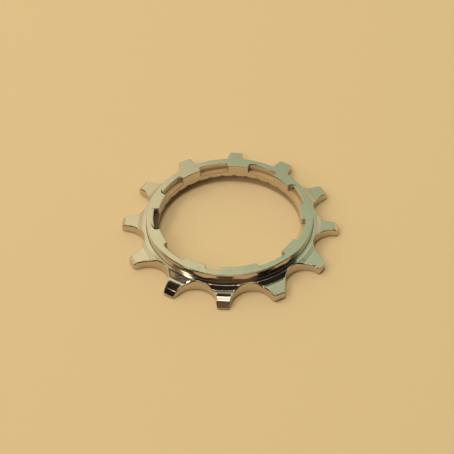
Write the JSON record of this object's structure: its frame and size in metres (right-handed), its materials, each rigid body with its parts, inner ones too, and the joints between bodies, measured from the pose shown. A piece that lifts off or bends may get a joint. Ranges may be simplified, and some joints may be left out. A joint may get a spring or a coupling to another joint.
{
  "type": "bicycle cassette cog",
  "caption": "Small toothed cassette cog in one piece of plated steel: raised spacer collar, notched bore for a splined hub, and a recess for the lockring in its outer face.",
  "frame": {"origin": "on the axis, in the plane of the outer face that the cog lies on", "axes": "+Z along the axis, from the outer face towards the collar's end; +X through the middle of a tooth"},
  "size_m": [0.0514, 0.0514, 0.005],
  "materials": {
    "plated_steel": "bright nickel plating, lightly worn"
  },
  "bodies": {
    "root": {"cog": "plated_steel"}
  },
  "joints": []
}
